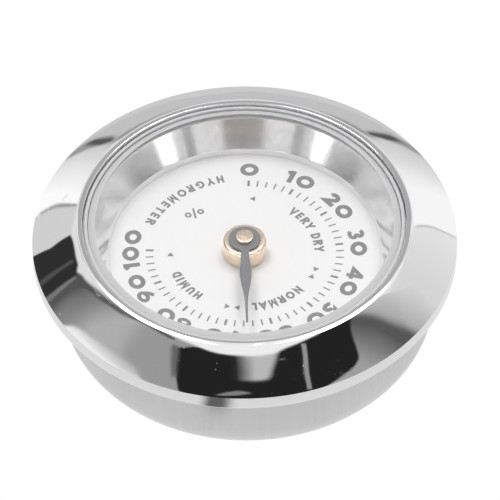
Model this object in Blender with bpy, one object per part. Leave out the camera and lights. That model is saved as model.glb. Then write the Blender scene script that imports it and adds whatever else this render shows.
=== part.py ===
"""Dial hygrometer: a 50 mm round insert whose humidity coil turns a pointer over a percent dial.

Metres, +Z up along the dial's axis, origin at the centre of the flat back.
+Y is the dial's 50 % direction, so 0 % and 100 % lie at the lower left and lower right.
"""

import math

import bmesh
import bpy
from mathutils import Matrix

MM = 0.001

# Clearances: CLEAR between neighbours and round moving pieces, SEAT where one piece rests on another.
CLEAR = 0.3 * MM
SEAT = 0.1 * MM

# Driving dimensions.
BEZEL_RADIUS = 25.0 * MM
WALL_RADIUS = 22.2 * MM
BACK_RADIUS = 17.7 * MM
FLANGE_Z = 11.6 * MM
RIM_Z = 13.5 * MM
CREST_Z = 16.7 * MM
WINDOW_RADIUS = 19.1 * MM
GLASS_RADIUS = 18.4 * MM
CUP_TOP_RADIUS = 17.75 * MM
DIAL_VIEW_RADIUS = 15.95 * MM
DIAL_Z = 11.0 * MM
SHEET = 0.6 * MM

# The dial's scale: percent runs clockwise over 270 degrees, and the pointer rests at 65.3 %.
ZERO_ANGLE = math.radians(225.0)
ANGLE_PER_PERCENT = math.radians(2.7)
REST_PERCENT = 65.3

# Heights of the movement, from the case floor up.
BRIDGE_Z = 1.9 * MM
BRIDGE_THICKNESS = 0.8 * MM
ARM_Z = 3.5 * MM
ARM_THICKNESS = 0.5 * MM
COLLET_Z = 7.2 * MM
COLLET_HEIGHT = 0.9 * MM
COLLET_RADIUS = 1.3 * MM
PLATE_Z = 9.6 * MM
PLATE_THICKNESS = 0.8 * MM
DIAL_THICKNESS = 0.3 * MM
BOSS_HEIGHT = 2.3 * MM

# Shaft, bush and pointer.
ARBOR_RADIUS = 0.5 * MM
BORE_RADIUS = ARBOR_RADIUS + SEAT
BOSS_RADIUS = 2.55 * MM
NECK_RADIUS = 1.6 * MM
EYE_RADIUS = 1.9 * MM
POINTER_THICKNESS = 0.2 * MM
POINTER_LENGTH = 13.2 * MM

# Bridge, pillars and the adjuster at the back.
PILLAR_OFFSET = 11.0 * MM
PILLAR_RADIUS = 1.4 * MM
SCREW_RADIUS = 0.6 * MM
ADJUSTER_RADIUS = 2.2 * MM
ADJUSTER_NECK = 1.35 * MM
VENT_CIRCLE = 12.4 * MM
VENT_RADIUS = 1.25 * MM
VENT_COUNT = 8
VENT_SIDES = 18

# Humidity coil: a strip that climbs round the arbor and then runs in to the collet.
COIL_RADIUS = 5.5 * MM
COIL_TURNS = 2.5
COIL_RUN_IN = 0.75
STRIP_WIDTH = 0.8 * MM
STRIP_THICKNESS = 0.25 * MM

# Facets round a full circle, for wide rings, for hubs and for pins.
WIDE = 64
HUB = 24
PIN = 16


# ---------------------------------------------------------------- building blocks


def clear_scene():
    for obj in list(bpy.data.objects):
        bpy.data.objects.remove(obj, do_unlink=True)


def make_material(name, colour, roughness, metallic, alpha=1.0):
    material = bpy.data.materials.new(name)
    material.use_nodes = True
    shader = material.node_tree.nodes["Principled BSDF"]
    shader.inputs["Base Color"].default_value = (*colour, 1.0)
    shader.inputs["Roughness"].default_value = roughness
    shader.inputs["Metallic"].default_value = metallic
    shader.inputs["Alpha"].default_value = alpha
    return material


def add_object(name, mesh, material, parent=None):
    obj = bpy.data.objects.new(name, mesh)
    bpy.context.scene.collection.objects.link(obj)
    obj.data.materials.append(material)
    obj.parent = parent
    return obj


def add_axis(name, location):
    """An empty on a joint's axis, which the pieces of a moving body hang from."""
    empty = bpy.data.objects.new(name, None)
    empty.location = location
    bpy.context.scene.collection.objects.link(empty)
    return empty


def finish_mesh(name, bm):
    """Closes, orients and shades a bmesh, and returns it as a mesh."""
    bmesh.ops.remove_doubles(bm, verts=bm.verts, dist=0.001 * MM)
    bmesh.ops.recalc_face_normals(bm, faces=bm.faces)
    mesh = bpy.data.meshes.new(name)
    bm.to_mesh(mesh)
    bm.free()
    mesh.shade_smooth()
    mesh.set_sharp_from_angle(angle=math.radians(35.0))
    return mesh


def turned(name, profile, material, parent=None, segments=WIDE, centre=(0.0, 0.0), ring=True):
    """Spins (radius, z) points about a vertical axis at centre; ring closes the profile on itself."""
    bm = bmesh.new()
    verts = [bm.verts.new((radius, 0.0, z)) for radius, z in profile]
    pairs = list(zip(verts, verts[1:]))
    if ring:
        pairs.append((verts[-1], verts[0]))
    edges = [bm.edges.new(pair) for pair in pairs]
    bmesh.ops.spin(
        bm,
        geom=verts + edges,
        cent=(0.0, 0.0, 0.0),
        axis=(0.0, 0.0, 1.0),
        angle=2.0 * math.pi,
        steps=segments,
        use_merge=True,
    )
    obj = add_object(name, finish_mesh(name, bm), material, parent)
    obj.location = (centre[0], centre[1], 0.0)
    return obj


def solid_round(name, radius, low, high, material, parent=None, segments=PIN, centre=(0.0, 0.0)):
    """A plain pin or disc with no bore."""
    profile = [(0.0, low), (radius, low), (radius, high), (0.0, high)]
    return turned(name, profile, material, parent, segments, centre, ring=False)


def washer(name, inner, outer, low, high, material, parent=None, segments=HUB, centre=(0.0, 0.0)):
    profile = [(inner, low), (outer, low), (outer, high), (inner, high)]
    return turned(name, profile, material, parent, segments, centre)


def arc(centre_r, centre_z, radius, start, end, steps):
    """Points of a circular arc in the (radius, z) plane, angles in degrees."""
    angles = [math.radians(start + (end - start) * i / steps) for i in range(steps + 1)]
    return [(centre_r + radius * math.cos(a), centre_z + radius * math.sin(a)) for a in angles]


def circle(radius, count, centre=(0.0, 0.0), start=0.0):
    angles = [start + 2.0 * math.pi * i / count for i in range(count)]
    return [(centre[0] + radius * math.cos(a), centre[1] + radius * math.sin(a)) for a in angles]


def flat_piece(name, outlines, low, high, material, parent=None):
    """A flat plate from closed (x, y) outlines: the first is its edge, the others are holes."""
    curve = bpy.data.curves.new(name, "CURVE")
    curve.dimensions = "2D"
    curve.fill_mode = "BOTH"
    curve.extrude = (high - low) / 2.0
    for outline in outlines:
        spline = curve.splines.new("POLY")
        spline.points.add(len(outline) - 1)
        for point, (x, y) in zip(spline.points, outline):
            point.co = (x, y, 0.0, 1.0)
        spline.use_cyclic_u = True
    obj = add_object(name, curve, material, parent)
    obj.location.z = (low + high) / 2.0
    return obj


def cut(target, cutters):
    """Subtracts hidden cutters from a piece."""
    for cutter in cutters:
        cutter.hide_render = True
        cutter.display_type = "WIRE"
        modifier = target.modifiers.new("cut_" + cutter.name, "BOOLEAN")
        modifier.operation = "DIFFERENCE"
        modifier.solver = "EXACT"
        modifier.object = cutter


def slot_cutter(name, length, width, low, high, centre=(0.0, 0.0), angle=0.0):
    """A box that mills a screwdriver slot."""
    bm = bmesh.new()
    bmesh.ops.create_cube(bm, size=1.0)
    bmesh.ops.scale(bm, vec=(length, width, high - low), verts=bm.verts)
    bmesh.ops.rotate(bm, cent=(0.0, 0.0, 0.0), matrix=Matrix.Rotation(angle, 3, "Z"), verts=bm.verts)
    obj = add_object(name, finish_mesh(name, bm), STEEL)
    obj.location = (centre[0], centre[1], (low + high) / 2.0)
    return obj


# ---------------------------------------------------------------- materials

clear_scene()
CHROME = make_material("chrome_plate", (0.82, 0.83, 0.84), 0.06, 1.0)
GLASS = make_material("clear_glass", (0.95, 0.97, 0.97), 0.02, 0.0, 0.3)
GASKET = make_material("grey_gasket", (0.45, 0.46, 0.47), 0.55, 0.0)
REFLECTOR = make_material("polished_aluminium", (0.78, 0.78, 0.79), 0.12, 1.0)
DIAL_WHITE = make_material("dial_white", (0.90, 0.90, 0.89), 0.45, 0.0)
CASE_METAL = make_material("satin_steel", (0.66, 0.66, 0.67), 0.32, 1.0)
BRASS = make_material("brass", (0.80, 0.58, 0.32), 0.25, 1.0)
STEEL = make_material("steel", (0.56, 0.57, 0.59), 0.30, 1.0)
POINTER_GREY = make_material("pointer_grey", (0.16, 0.17, 0.18), 0.40, 0.2)
HUMIDITY_STRIP = make_material("humidity_strip", (0.62, 0.47, 0.26), 0.50, 0.1)


# ---------------------------------------------------------------- case, bezel, window and dial


def bezel_face():
    """The sloping front face from the rim up to the crest, slightly bulged."""
    bulge = 0.22 * MM
    steps = 5
    crest_r = WINDOW_RADIUS + 0.55 * MM
    points = []
    for i in range(steps + 1):
        t = i / steps
        radius = BEZEL_RADIUS - 0.1 * MM + (crest_r - BEZEL_RADIUS + 0.1 * MM) * t
        height = RIM_Z + (CREST_Z - RIM_Z) * t + 4.0 * bulge * t * (1.0 - t)
        points.append((radius, height))
    return points


def build_bezel():
    """Heavy plated ring: lip, sloping face, window bore, shelf for the cup, skirt, and a recess for the can's rim."""
    edge = 0.25 * MM
    shelf_z = 14.5 * MM
    throat = CUP_TOP_RADIUS + 0.75 * MM
    skirt_outer = WALL_RADIUS - SHEET - CLEAR
    skirt_inner = skirt_outer - SHEET
    skirt_z = 8.6 * MM
    recess = WALL_RADIUS + CLEAR
    profile = [
        (skirt_inner, skirt_z),
        (skirt_outer, skirt_z),
        (skirt_outer, FLANGE_Z + CLEAR),
        (recess, FLANGE_Z + CLEAR),
        (recess, FLANGE_Z),
        (BEZEL_RADIUS - edge, FLANGE_Z),
        (BEZEL_RADIUS, FLANGE_Z + edge),
        (BEZEL_RADIUS, RIM_Z - SEAT),
    ]
    profile += bezel_face()
    profile += [
        (WINDOW_RADIUS + edge, CREST_Z),
        (WINDOW_RADIUS, CREST_Z - edge),
        (WINDOW_RADIUS, shelf_z),
        (throat, shelf_z),
        (throat, FLANGE_Z),
        (skirt_inner, FLANGE_Z - edge),
    ]
    turned("bezel", profile, CHROME)


def build_window():
    """Flat glass on the cup's flange, held in the bore by a pressed-in gasket ring."""
    glass_low = 15.3 * MM
    glass_high = 16.4 * MM
    bevel = 0.25 * MM
    glass = [
        (0.0, glass_low),
        (GLASS_RADIUS, glass_low),
        (GLASS_RADIUS, glass_high - bevel),
        (GLASS_RADIUS - bevel, glass_high),
        (0.0, glass_high),
    ]
    turned("front_glass", glass, GLASS, ring=False)
    washer("glass_gasket", GLASS_RADIUS + SEAT, WINDOW_RADIUS - SEAT, glass_low, glass_high, GASKET, segments=WIDE)


def build_cup():
    """Polished conical cup between glass and dial, with a flange on top and a short upright foot."""
    wall = 0.4 * MM
    flange_z = 14.6 * MM
    top_z = 15.2 * MM
    foot_z = DIAL_Z + SEAT
    foot_top = foot_z + 1.0 * MM
    foot_radius = DIAL_VIEW_RADIUS + 0.1 * MM
    profile = [
        (DIAL_VIEW_RADIUS, foot_z),
        (foot_radius + wall, foot_z),
        (foot_radius + wall, foot_top - wall),
        (CUP_TOP_RADIUS + wall, flange_z),
        (WINDOW_RADIUS - SEAT, flange_z),
        (WINDOW_RADIUS - SEAT, top_z),
        (CUP_TOP_RADIUS, top_z),
        (foot_radius + 0.15 * MM, foot_top),
        (DIAL_VIEW_RADIUS, foot_top - 0.2 * MM),
    ]
    turned("reflector_cup", profile, REFLECTOR)


def build_dial():
    """White dial disc, and the ring in the bezel's skirt that holds it up against the cup."""
    dial_edge = 17.2 * MM
    low = DIAL_Z - DIAL_THICKNESS
    washer("dial_plate", NECK_RADIUS + CLEAR, dial_edge, low, DIAL_Z, DIAL_WHITE, segments=WIDE)
    ring_inner = 15.8 * MM
    ring_outer = WALL_RADIUS - 2.0 * SHEET - 2.0 * CLEAR
    ring_low = PLATE_Z + 0.2 * MM
    washer("dial_ring", ring_inner, ring_outer, ring_low, low - SEAT, STEEL, segments=WIDE)


def build_case():
    """Drawn can with a rounded edge, a flat back, vent holes and a hole for the adjuster."""
    hole = ADJUSTER_RADIUS + 0.4 * MM
    corner = WALL_RADIUS - BACK_RADIUS
    rim = FLANGE_Z
    profile = [(hole, 0.0)]
    profile += arc(BACK_RADIUS, corner, corner, -90.0, 0.0, 7)
    profile += [(WALL_RADIUS, rim), (WALL_RADIUS - SHEET, rim)]
    profile += arc(BACK_RADIUS, corner, corner - SHEET, 0.0, -90.0, 7)
    profile += [(hole, SHEET)]
    case = turned("rear_case", profile, CASE_METAL)
    vents = []
    for i in range(VENT_COUNT):
        angle = 2.0 * math.pi * (i + 0.5) / VENT_COUNT
        centre = (VENT_CIRCLE * math.cos(angle), VENT_CIRCLE * math.sin(angle))
        name = f"vent_cutter_{i}"
        vents.append(solid_round(name, VENT_RADIUS, -SHEET, 2.0 * SHEET, STEEL, None, VENT_SIDES, centre))
    cut(case, vents)


# ---------------------------------------------------------------- fixed frame of the movement


def build_movement_plate():
    """Plate under the dial, with holes for the bush and for the pillars' riveted ends."""
    plate_radius = 15.3 * MM
    tenon_hole = 1.1 * MM
    outlines = [circle(plate_radius, 48), circle(NECK_RADIUS + CLEAR, PIN)]
    for side in (-1.0, 1.0):
        outlines.append(circle(tenon_hole, PIN, (side * PILLAR_OFFSET, 0.0)))
    flat_piece("movement_plate", outlines, PLATE_Z, PLATE_Z + PLATE_THICKNESS - SEAT, BRASS)


def build_bridge():
    """Bar across the back of the movement, which carries the adjuster between the two pillars."""
    half_width = 3.0 * MM
    hole = SCREW_RADIUS + SEAT
    outline = []
    for side, start in ((1.0, -90.0), (-1.0, 90.0)):
        centre = (side * PILLAR_OFFSET, 0.0)
        outline += [(centre[0] + x, y) for x, y in arc(0.0, 0.0, half_width, start, start + 180.0, 10)]
    outlines = [outline, circle(ADJUSTER_NECK + SEAT, HUB)]
    for side in (-1.0, 1.0):
        outlines.append(circle(hole, PIN, (side * PILLAR_OFFSET, 0.0)))
    flat_piece("bridge", outlines, BRIDGE_Z, BRIDGE_Z + BRIDGE_THICKNESS, BRASS)


def build_pillar(side, label):
    """A tapped pillar with a riveted upper end, and the slotted screw that holds the bridge to it."""
    centre = (side * PILLAR_OFFSET, 0.0)
    low = BRIDGE_Z + BRIDGE_THICKNESS + SEAT
    shoulder = PLATE_Z - SEAT
    tenon_top = PLATE_Z + PLATE_THICKNESS - 2.0 * SEAT
    tenon = 0.9 * MM
    bore = SCREW_RADIUS + SEAT
    bore_top = low + 3.2 * MM
    profile = [
        (0.0, bore_top),
        (bore, bore_top),
        (bore, low),
        (PILLAR_RADIUS, low),
        (PILLAR_RADIUS, shoulder),
        (tenon, shoulder),
        (tenon, tenon_top),
        (0.0, tenon_top),
    ]
    turned(f"pillar_{label}", profile, BRASS, segments=PIN, centre=centre, ring=False)

    head_radius = 1.5 * MM
    head_top = BRIDGE_Z - SEAT
    head_low = head_top - 0.8 * MM
    shank_top = bore_top - CLEAR
    profile = [
        (0.0, head_low),
        (head_radius, head_low),
        (head_radius, head_top),
        (SCREW_RADIUS, head_top),
        (SCREW_RADIUS, shank_top),
        (0.0, shank_top),
    ]
    screw = turned(f"bridge_screw_{label}", profile, STEEL, segments=PIN, centre=centre, ring=False)
    slot_depth = 0.35 * MM
    slot_width = 0.4 * MM
    slot = slot_cutter(
        f"slot_cutter_{label}", 4.0 * MM, slot_width, head_low - CLEAR, head_low + slot_depth, centre, math.radians(35.0)
    )
    cut(screw, [slot])


def build_bush():
    """Brass bearing bush: its boss stands on the dial, and a nut under the plate clamps it."""
    boss_low = DIAL_Z + SEAT
    boss_top = DIAL_Z + BOSS_HEIGHT
    chamfer = 0.3 * MM
    nut_low = 8.5 * MM
    nut_high = PLATE_Z - SEAT
    profile = [
        (BORE_RADIUS, nut_low - SEAT),
        (NECK_RADIUS, nut_low - SEAT),
        (NECK_RADIUS, boss_low),
        (BOSS_RADIUS, boss_low),
        (BOSS_RADIUS, boss_top - chamfer),
        (BOSS_RADIUS - chamfer, boss_top),
        (BORE_RADIUS, boss_top),
    ]
    turned("bearing_bush", profile, BRASS, segments=HUB)
    hexagon = circle(3.1 * MM, 6)
    flat_piece("bush_nut", [hexagon, circle(NECK_RADIUS + SEAT, HUB)], nut_low, nut_high, BRASS)


# ---------------------------------------------------------------- calibration body


def build_adjuster(parent):
    """Slotted adjuster in the bridge, with a blind hole on top for the arbor's lower end."""
    head_low = 0.15 * MM
    head_top = BRIDGE_Z - SEAT
    neck_top = 4.8 * MM
    pivot_floor = 2.0 * MM
    chamfer = 0.2 * MM
    profile = [
        (0.0, head_low),
        (ADJUSTER_RADIUS - chamfer, head_low),
        (ADJUSTER_RADIUS, head_low + chamfer),
        (ADJUSTER_RADIUS, head_top),
        (ADJUSTER_NECK, head_top),
        (ADJUSTER_NECK, neck_top),
        (BORE_RADIUS, neck_top),
        (BORE_RADIUS, pivot_floor),
        (0.0, pivot_floor),
    ]
    adjuster = turned("adjuster", profile, BRASS, parent, segments=HUB, ring=False)
    slot_width = 0.8 * MM
    slot_depth = 0.7 * MM
    cut(adjuster, [slot_cutter("slot_cutter_adjuster", 6.0 * MM, slot_width, -CLEAR, head_low + slot_depth)])


def build_wave_washer(parent):
    """Wavy spring washer between bridge and arm, whose friction holds the calibration."""
    inner = ADJUSTER_NECK + SEAT
    outer = 2.9 * MM
    middle = (BRIDGE_Z + BRIDGE_THICKNESS + ARM_Z) / 2.0
    wave = 0.18 * MM
    waves = 3
    half = 0.07 * MM
    bm = bmesh.new()
    rings = []
    for i in range(HUB):
        angle = 2.0 * math.pi * i / HUB
        z = middle + wave * math.cos(waves * angle)
        corners = [(inner, z - half), (outer, z - half), (outer, z + half), (inner, z + half)]
        rings.append([bm.verts.new((r * math.cos(angle), r * math.sin(angle), h)) for r, h in corners])
    for ring, after in zip(rings, rings[1:] + rings[:1]):
        for j in range(4):
            k = (j + 1) % 4
            bm.faces.new((ring[j], ring[k], after[k], after[j]))
    add_object("wave_washer", finish_mesh("wave_washer", bm), STEEL, parent)


def build_calibration_arm(parent):
    """Arm fixed on the adjuster by a collar, with the upright post that holds the coil's lower end."""
    hub = 2.5 * MM
    end_radius = 1.1 * MM
    post_radius = 0.6 * MM
    post_offset = COIL_RADIUS + STRIP_THICKNESS / 2.0 + SEAT + post_radius
    lean = math.asin((hub - end_radius) / post_offset)
    hub_start = math.degrees(math.pi / 2.0 - lean)
    outline = arc(0.0, 0.0, hub, hub_start, 360.0 - hub_start, 20)
    outline += [(post_offset + x, y) for x, y in arc(0.0, 0.0, end_radius, -hub_start, hub_start, 10)]
    holes = [circle(ADJUSTER_NECK + SEAT, HUB), circle(post_radius + SEAT, PIN, (post_offset, 0.0))]
    arm_top = ARM_Z + ARM_THICKNESS
    flat_piece("calibration_arm", [outline] + holes, ARM_Z, arm_top, BRASS, parent)
    solid_round("anchor_post", post_radius, ARM_Z, arm_top + 1.6 * MM, BRASS, parent, centre=(post_offset, 0.0))
    washer("arm_collar", ADJUSTER_NECK + SEAT, hub - CLEAR, arm_top + SEAT, arm_top + 0.7 * MM, BRASS, parent)


def coil_path():
    """(x, y, z) points of the strip's middle line, from the anchor post up and in to the collet."""
    per_turn = 24
    low = ARM_Z + ARM_THICKNESS + SEAT + CLEAR + STRIP_WIDTH / 2.0
    high = COLLET_Z + COLLET_HEIGHT / 2.0
    inner = COLLET_RADIUS + SEAT + STRIP_THICKNESS / 2.0
    steps = round((COIL_TURNS + COIL_RUN_IN) * per_turn)
    points = []
    for i in range(steps + 1):
        turn = i / per_turn
        climb = min(turn / COIL_TURNS, 1.0)
        run_in = max(turn - COIL_TURNS, 0.0) / COIL_RUN_IN
        ease = run_in * run_in * (3.0 - 2.0 * run_in)
        radius = COIL_RADIUS + (inner - COIL_RADIUS) * ease
        angle = 2.0 * math.pi * turn
        points.append((radius * math.cos(angle), radius * math.sin(angle), low + (high - low) * climb))
    return points


def build_coil(parent):
    """The humidity coil, a flat strip on edge swept along its path."""
    path = coil_path()
    half_width = STRIP_WIDTH / 2.0
    half_thickness = STRIP_THICKNESS / 2.0
    bm = bmesh.new()
    sections = []
    for i, (x, y, z) in enumerate(path):
        before = path[max(i - 1, 0)]
        after = path[min(i + 1, len(path) - 1)]
        run = math.hypot(after[0] - before[0], after[1] - before[1])
        side_x = (after[1] - before[1]) / run
        side_y = (before[0] - after[0]) / run
        section = []
        for across, up in ((-1, -1), (1, -1), (1, 1), (-1, 1)):
            offset = across * half_thickness
            section.append(bm.verts.new((x + side_x * offset, y + side_y * offset, z + up * half_width)))
        sections.append(section)
    for section, after in zip(sections, sections[1:]):
        for j in range(4):
            k = (j + 1) % 4
            bm.faces.new((section[j], section[k], after[k], after[j]))
    bm.faces.new(sections[0])
    bm.faces.new(sections[-1])
    add_object("humidity_coil", finish_mesh("humidity_coil", bm), HUMIDITY_STRIP, parent)


# ---------------------------------------------------------------- pointer body


def build_arbor(parent):
    """Steel arbor from the adjuster's pivot hole up through the bush, with the coil's collet on it."""
    low = 2.2 * MM
    high = DIAL_Z + BOSS_HEIGHT - SEAT
    solid_round("arbor", ARBOR_RADIUS, low, high, STEEL, parent)
    collet_top = COLLET_Z + COLLET_HEIGHT
    washer("coil_collet", BORE_RADIUS, COLLET_RADIUS, COLLET_Z, collet_top, BRASS, parent)


def pointer_outline():
    """Eye, leaf and needle of the pointer, along +X."""
    neck = 0.49 * MM
    leaf = 0.70 * MM
    needle = 0.17 * MM
    tip = 0.13 * MM
    leaf_at = 5.7 * MM
    needle_at = 9.7 * MM
    side = [(3.2 * MM, neck), (4.6 * MM, 0.62 * MM), (leaf_at, leaf), (6.8 * MM, 0.60 * MM)]
    side += [(needle_at, needle), (POINTER_LENGTH, tip)]
    opening = math.degrees(math.asin(neck / EYE_RADIUS))
    outline = arc(0.0, 0.0, EYE_RADIUS, opening, 360.0 - opening, 28)
    return outline + [(x, -y) for x, y in side] + side[::-1]


def build_pointer(parent):
    """Stamped pointer on the bush, held on the arbor by a brass rivet."""
    low = DIAL_Z + BOSS_HEIGHT + SEAT
    high = low + POINTER_THICKNESS
    outlines = [pointer_outline(), circle(ARBOR_RADIUS + SEAT, PIN)]
    pointer = flat_piece("pointer", outlines, low, high, POINTER_GREY, parent)
    pointer.rotation_euler.z = ZERO_ANGLE - ANGLE_PER_PERCENT * REST_PERCENT

    head = 1.05 * MM
    head_low = high + SEAT
    head_top = head_low + 0.35 * MM
    chamfer = 0.12 * MM
    profile = [
        (0.0, DIAL_Z + BOSS_HEIGHT),
        (ARBOR_RADIUS, DIAL_Z + BOSS_HEIGHT),
        (ARBOR_RADIUS, head_low),
        (head, head_low),
        (head, head_top - chamfer),
        (head - chamfer, head_top),
        (0.0, head_top),
    ]
    turned("pointer_rivet", profile, BRASS, parent, segments=HUB, ring=False)


# ---------------------------------------------------------------- the whole instrument


def build_hygrometer():
    build_bezel()
    build_window()
    build_cup()
    build_dial()
    build_case()
    build_movement_plate()
    build_bridge()
    build_pillar(-1.0, "left")
    build_pillar(1.0, "right")
    build_bush()

    calibration_axis = add_axis("calibration_axis", (0.0, 0.0, 0.0))
    build_adjuster(calibration_axis)
    build_wave_washer(calibration_axis)
    build_calibration_arm(calibration_axis)
    build_coil(calibration_axis)

    pointer_axis = add_axis("pointer_axis", (0.0, 0.0, 0.0))
    pointer_axis.parent = calibration_axis
    build_arbor(pointer_axis)
    build_pointer(pointer_axis)


build_hygrometer()
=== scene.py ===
"""Looks of the dial hygrometer: fine meshes, print, materials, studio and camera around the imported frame."""

import math

import bmesh
import bpy
import numpy as np
from mathutils import Matrix, Vector
from mathutils.geometry import convex_hull_2d, delaunay_2d_cdt


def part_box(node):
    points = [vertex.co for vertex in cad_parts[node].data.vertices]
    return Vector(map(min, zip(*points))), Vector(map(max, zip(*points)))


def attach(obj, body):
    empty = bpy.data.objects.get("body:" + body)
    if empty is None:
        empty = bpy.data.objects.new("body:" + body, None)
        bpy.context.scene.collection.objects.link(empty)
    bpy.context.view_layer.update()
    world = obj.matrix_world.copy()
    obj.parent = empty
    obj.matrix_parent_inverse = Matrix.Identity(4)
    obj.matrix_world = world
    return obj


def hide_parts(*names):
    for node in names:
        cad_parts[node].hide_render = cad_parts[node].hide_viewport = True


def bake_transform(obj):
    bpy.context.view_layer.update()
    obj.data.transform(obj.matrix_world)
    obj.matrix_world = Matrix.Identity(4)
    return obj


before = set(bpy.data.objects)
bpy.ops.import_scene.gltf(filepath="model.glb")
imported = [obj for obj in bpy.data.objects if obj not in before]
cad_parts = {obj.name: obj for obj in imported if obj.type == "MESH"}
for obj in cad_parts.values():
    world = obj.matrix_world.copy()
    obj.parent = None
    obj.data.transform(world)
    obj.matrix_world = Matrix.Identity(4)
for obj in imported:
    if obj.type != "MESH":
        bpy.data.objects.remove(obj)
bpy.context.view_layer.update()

MM = 0.001

# Facets round a full circle, for wide rings and for small turned pieces.
WIDE = 288
SMALL = 96

# Flat triangulation keeps only what lies inside its outlines.
INSIDE_ONLY = 1

# The dial: 0 % at 225 degrees from +X, running clockwise over 270 degrees.
ZERO_DEG = 225.0
DEG_PER_PERCENT = 2.7

# The upright rim of the bezel, above its underside.
LIP_HEIGHT = 1.9 * MM

# How far the can sits towards the view's right, in its 0.3 mm clearance.
CAN_PLAY = 0.28 * MM

# The camera: a long lens above the dial, between 1 and 2 o'clock. The azimuth is that of the view's
# right-hand side.
VIEW_AZIMUTH = 137.8
VIEW_ELEVATION = 47.4
VIEW_ROLL = 0.63
VIEW_FOCAL = 432.0
VIEW_DISTANCE = 706.4 * MM
VIEW_AIM = (0.636 * MM, -1.37 * MM)


# ---------------------------------------------------------------- mesh helpers


def lerp(a, b, t):
    return a + (b - a) * t


def arc(cx, cy, radius, start, end, steps):
    """Points on a circle, angles in degrees."""
    angles = np.radians(np.linspace(start, end, steps + 1))
    return [(cx + radius * math.cos(a), cy + radius * math.sin(a)) for a in angles]


def rounded(points, radii, steps, closed=True):
    """A polygon in the (radius, z) plane with its corners rounded by the given radii, in mm."""
    result = []
    count = len(points)
    for i, (corner, radius_mm) in enumerate(zip(points, radii)):
        if radius_mm == 0.0 or (not closed and i in (0, count - 1)):
            result.append(corner)
            continue
        radius = radius_mm * MM
        here = Vector(corner)
        back = (Vector(points[i - 1]) - here).normalized()
        ahead = (Vector(points[(i + 1) % count]) - here).normalized()
        half = back.angle(ahead) / 2.0
        reach = radius / math.tan(half)
        centre = here + (back + ahead).normalized() * (radius / math.sin(half))
        first = here + back * reach - centre
        turn = first.angle_signed(here + ahead * reach - centre)
        for k in range(steps + 1):
            a = -turn * k / steps
            x = centre.x + first.x * math.cos(a) - first.y * math.sin(a)
            y = centre.y + first.x * math.sin(a) + first.y * math.cos(a)
            result.append((x, y))
    return result


def densify(points, longest, closed=True):
    """Splits long stretches of a profile, so that shading stays even along them."""
    result = []
    last = len(points) if closed else len(points) - 1
    for i in range(last):
        a, b = points[i], points[(i + 1) % len(points)]
        parts = max(1, math.ceil(math.dist(a, b) / longest))
        result += [(lerp(a[0], b[0], k / parts), lerp(a[1], b[1], k / parts)) for k in range(parts)]
    if not closed:
        result.append(points[-1])
    return result


def new_object(name, mesh, material):
    obj = bpy.data.objects.new(name, mesh)
    bpy.context.scene.collection.objects.link(obj)
    mesh.materials.append(material)
    return obj


def shaded(mesh, sharp=40.0):
    mesh.shade_smooth()
    mesh.set_sharp_from_angle(angle=math.radians(sharp))
    return mesh


def turned_mesh(name, profile, segments, closed=True, centre=(0.0, 0.0)):
    """A body of revolution. An open profile starts and ends on the axis."""
    bm = bmesh.new()
    columns = []
    poles = {}
    for i, (radius, z) in enumerate(profile):
        if radius < 1e-7:
            poles[i] = bm.verts.new((centre[0], centre[1], z))
    for s in range(segments):
        a = 2.0 * math.pi * s / segments
        c, d = math.cos(a), math.sin(a)
        column = []
        for i, (radius, z) in enumerate(profile):
            point = (centre[0] + radius * c, centre[1] + radius * d, z)
            column.append(poles[i] if i in poles else bm.verts.new(point))
        columns.append(column)
    pairs = len(profile) if closed else len(profile) - 1
    for column, after in zip(columns, columns[1:] + columns[:1]):
        for i in range(pairs):
            j = (i + 1) % len(profile)
            corners = []
            for vert in (column[i], after[i], after[j], column[j]):
                if vert not in corners:
                    corners.append(vert)
            bm.faces.new(corners)
    bmesh.ops.recalc_face_normals(bm, faces=bm.faces)
    mesh = bpy.data.meshes.new(name)
    bm.to_mesh(mesh)
    bm.free()
    return shaded(mesh)


def turned(name, profile, material, segments=WIDE, closed=True):
    return new_object(name, turned_mesh(name, profile, segments, closed), material)


def fit(piece, body, slot, *nodes):
    """Fixes a finished piece to a CAD body, in place of CAD nodes."""
    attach(piece, body)
    if nodes:
        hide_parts(*nodes)
    return piece


def extruded_mesh(name, flat_verts, flat_faces, low, high):
    """A closed solid from flat triangles that share their inner edges."""
    bm = bmesh.new()
    top = [bm.verts.new((x, y, high)) for x, y in flat_verts]
    bottom = [bm.verts.new((x, y, low)) for x, y in flat_verts]
    for face in flat_faces:
        bm.faces.new([top[i] for i in face])
        bm.faces.new([bottom[i] for i in reversed(face)])
    edges = {}
    for face in flat_faces:
        for a, b in zip(face, face[1:] + face[:1]):
            edges[(a, b)] = True
    for a, b in edges:
        if (b, a) not in edges:
            bm.faces.new((top[b], top[a], bottom[a], bottom[b]))
    mesh = bpy.data.meshes.new(name)
    bm.to_mesh(mesh)
    bm.free()
    return mesh


def merge_flat(polygons):
    """The union of flat polygons, as triangles turning anticlockwise."""
    verts, faces = [], []
    for polygon in polygons:
        after = polygon[1:] + polygon[:1]
        area = sum(ax * by - bx * ay for (ax, ay), (bx, by) in zip(polygon, after))
        outline = polygon if area > 0.0 else polygon[::-1]
        faces.append(list(range(len(verts), len(verts) + len(outline))))
        verts += [Vector(p) for p in outline]
    out_verts, _, out_faces, _, _, sources = delaunay_2d_cdt(verts, [], faces, INSIDE_ONLY, 1e-7)
    flat = [(v.x, v.y) for v in out_verts]
    anticlockwise = []
    for face, source in zip(out_faces, sources):
        if not source:
            continue
        (ax, ay), (bx, by), (cx, cy) = (flat[i] for i in face[:3])
        area = (bx - ax) * (cy - ay) - (by - ay) * (cx - ax)
        anticlockwise.append(list(face) if area > 0 else list(face)[::-1])
    return flat, anticlockwise


# ---------------------------------------------------------------- node helpers


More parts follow.
